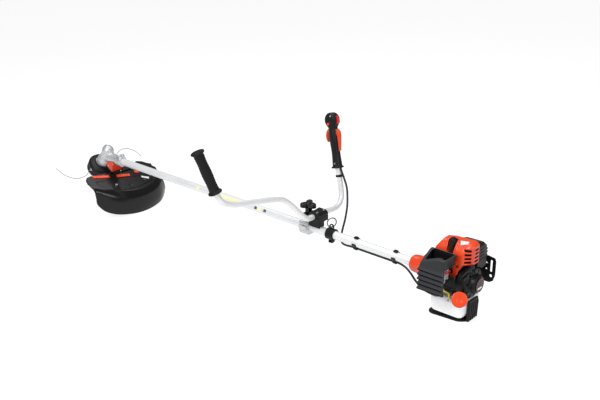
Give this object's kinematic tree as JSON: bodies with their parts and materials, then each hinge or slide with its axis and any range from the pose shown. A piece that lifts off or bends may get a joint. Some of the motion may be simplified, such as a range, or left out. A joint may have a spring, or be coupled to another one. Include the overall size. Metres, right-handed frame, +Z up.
{
  "type": "brush cutter",
  "caption": "Engine-driven brush cutter with a long straight tube, wide handlebar, debris shield and nylon line head.",
  "frame": {"origin": "centre of the bounding box's underside, on the ground that the shield and the tank stand rest on, nylon lines left out", "axes": "+X from the cutting head to the engine, +Y to the operator's right, +Z up; the drive tube slopes down to the engine by 3.1 degrees"},
  "size_m": [1.8394, 0.6602, 0.5366],
  "materials": {
    "tube_aluminium": "satin anodised aluminium",
    "cast_alloy": "fine cast alloy, slightly rough",
    "steel": "machined steel",
    "black_metal": "black painted sheet steel",
    "black_plastic": "black moulded nylon, fine grain",
    "black_gloss_plastic": "glossy black moulded plastic",
    "black_rubber": "black rubber",
    "orange_plastic": "orange-red moulded plastic, semi-gloss",
    "red_plastic": "red moulded plastic",
    "nylon": "clear grey nylon line",
    "white_plastic": "translucent white blow-moulded plastic",
    "yellow_hose": "translucent yellow fuel hose",
    "filter_foam": "grey open-cell foam"
  },
  "bodies": {
    "frame": {"main_tube": "tube_aluminium", "shaft_bushing": "black_rubber", "gear_case": "cast_alloy", "shield": "black_gloss_plastic", "shield_insert": "orange_plastic", "shield_mount": "orange_plastic", "line_cutter": "steel", "handle_clamp": "cast_alloy", "handle_base": "black_plastic", "handle_cap": "black_plastic", "handlebar": "tube_aluminium", "left_grip": "black_rubber", "throttle_grip": "black_plastic", "control_cable": "black_rubber", "cable_clip_front": "black_plastic", "cable_clip_rear": "black_plastic", "hanger_clamp": "black_plastic", "clutch_housing": "orange_plastic", "fan_housing": "black_plastic", "crankcase": "black_metal", "cylinder": "cast_alloy", "spark_plug": "steel", "plug_boot": "black_rubber", "engine_cover": "orange_plastic", "muffler": "steel", "muffler_cover": "black_plastic", "muffler_guard": "black_metal", "carburettor": "cast_alloy", "air_filter": "filter_foam", "air_cleaner_cover": "black_plastic", "recoil_housing": "black_plastic", "fuel_tank": "white_plastic", "fuel_hose": "yellow_hose", "tank_stand": "black_plastic"},
    "trimmer_head": {"head_body": "black_plastic", "head_cover": "black_plastic", "line_spool": "black_plastic", "output_shaft": "steel", "output_gear": "steel", "nylon_line_left": "nylon", "nylon_line_right": "nylon"},
    "drive_line": {"drive_shaft": "steel", "bevel_pinion": "steel", "clutch_drum": "steel"},
    "bump_knob": {"bump_knob": "black_plastic"},
    "crank": {"crankshaft": "steel", "flywheel": "cast_alloy", "clutch_shoes": "steel"},
    "piston": {"piston": "tube_aluminium"},
    "throttle_trigger": {"throttle_trigger": "orange_plastic"},
    "lockout_lever": {"lockout_lever": "orange_plastic"},
    "stop_switch": {"stop_switch": "red_plastic"},
    "throttle_lock": {"throttle_lock": "orange_plastic"},
    "clamp_knob": {"clamp_knob": "black_plastic"},
    "harness_ring": {"hanger_ring": "steel"},
    "fuel_cap": {"fuel_cap": "orange_plastic"},
    "air_cleaner_knob": {"air_cleaner_knob": "black_plastic"},
    "choke_lever": {"choke_lever": "red_plastic"},
    "starter_handle": {"starter_handle": "black_rubber"},
    "starter_reel": {"starter_reel": "black_plastic"}
  },
  "joints": [
    {"name": "head_spin", "type": "hinge", "parent": "frame", "child": "trimmer_head", "pos_m": [-0.82548, 0.13242, 0.21755], "axis": [0.5756, 0, 0.8177], "continuous": true},
    {"name": "drive_spin", "type": "hinge", "parent": "frame", "child": "drive_line", "pos_m": [-0.7481, 0.13242, 0.21331], "axis": [0.9985, 0, -0.0548], "continuous": true},
    {"name": "bump_knob_press", "type": "slide", "parent": "trimmer_head", "child": "bump_knob", "axis": [0.5756, 0, 0.8177], "range_m": [0, 0.006], "stiffness_N_per_m": 600, "springref_m": -0.004},
    {"name": "crank_spin", "type": "hinge", "parent": "frame", "child": "crank", "pos_m": [0.83502, 0.13242, 0.12646], "axis": [0.9985, 0, -0.0548], "continuous": true},
    {"name": "piston_stroke", "type": "slide", "parent": "frame", "child": "piston", "axis": [0.0548, 0, 0.9985], "range_m": [-0.032, 0]},
    {"name": "throttle_pull", "type": "hinge", "parent": "frame", "child": "throttle_trigger", "pos_m": [0.22588, 0.30437, 0.45058], "axis": [-0.0366, -0.9883, 0.1482], "range_deg": [0, 14], "stiffness_Nm_per_rad": 0.12, "springref_deg": -8.59},
    {"name": "lockout_press", "type": "hinge", "parent": "frame", "child": "lockout_lever", "pos_m": [0.25887, 0.30376, 0.45464], "axis": [0.0366, 0.9883, -0.1482], "range_deg": [0, 4], "stiffness_Nm_per_rad": 0.2, "springref_deg": -5.73},
    {"name": "stop_switch_slide", "type": "slide", "parent": "frame", "child": "stop_switch", "axis": [-0.2367, 0.1526, 0.9595], "range_m": [0, 0.0055]},
    {"name": "throttle_lock_press", "type": "slide", "parent": "frame", "child": "throttle_lock", "axis": [0.0366, 0.9883, -0.1482], "range_m": [0, 0.004], "stiffness_N_per_m": 150, "springref_m": -0.003},
    {"name": "clamp_knob_turn", "type": "hinge", "parent": "frame", "child": "clamp_knob", "pos_m": [0.26328, 0.13242, 0.22893], "axis": [0.0548, 0, 0.9985], "continuous": true},
    {"name": "harness_ring_swing", "type": "hinge", "parent": "frame", "child": "harness_ring", "pos_m": [0.36072, 0.13242, 0.17952], "axis": [0, 1, 0], "range_deg": [-70, 70]},
    {"name": "fuel_cap_turn", "type": "hinge", "parent": "frame", "child": "fuel_cap", "pos_m": [0.90022, 0.05142, 0.10085], "axis": [0.4767, -0.7517, 0.4557], "continuous": true},
    {"name": "air_cleaner_knob_turn", "type": "hinge", "parent": "frame", "child": "air_cleaner_knob", "pos_m": [0.83391, 0.05042, 0.20664], "axis": [0.0548, 0, 0.9985], "continuous": true},
    {"name": "choke_lever_turn", "type": "hinge", "parent": "frame", "child": "choke_lever", "pos_m": [0.85532, 0.04542, 0.17692], "axis": [0.9985, 0, -0.0548], "range_deg": [0, 70]},
    {"name": "starter_pull", "type": "slide", "parent": "frame", "child": "starter_handle", "axis": [0.0209, -0.9243, 0.3812], "range_m": [0, 0.045], "stiffness_N_per_m": 40, "springref_m": -0.03},
    {"name": "starter_reel_turn", "type": "hinge", "parent": "frame", "child": "starter_reel", "pos_m": [0.88545, 0.13242, 0.12369], "axis": [0.9985, 0, -0.0548], "range_deg": [0, 78]}
  ],
  "couplings": [
    {"joint": "drive_spin", "follows": "head_spin", "ratio": -1.4615},
    {"joint": "starter_reel_turn", "follows": "starter_pull", "rad_per_m": 29.423}
  ]
}
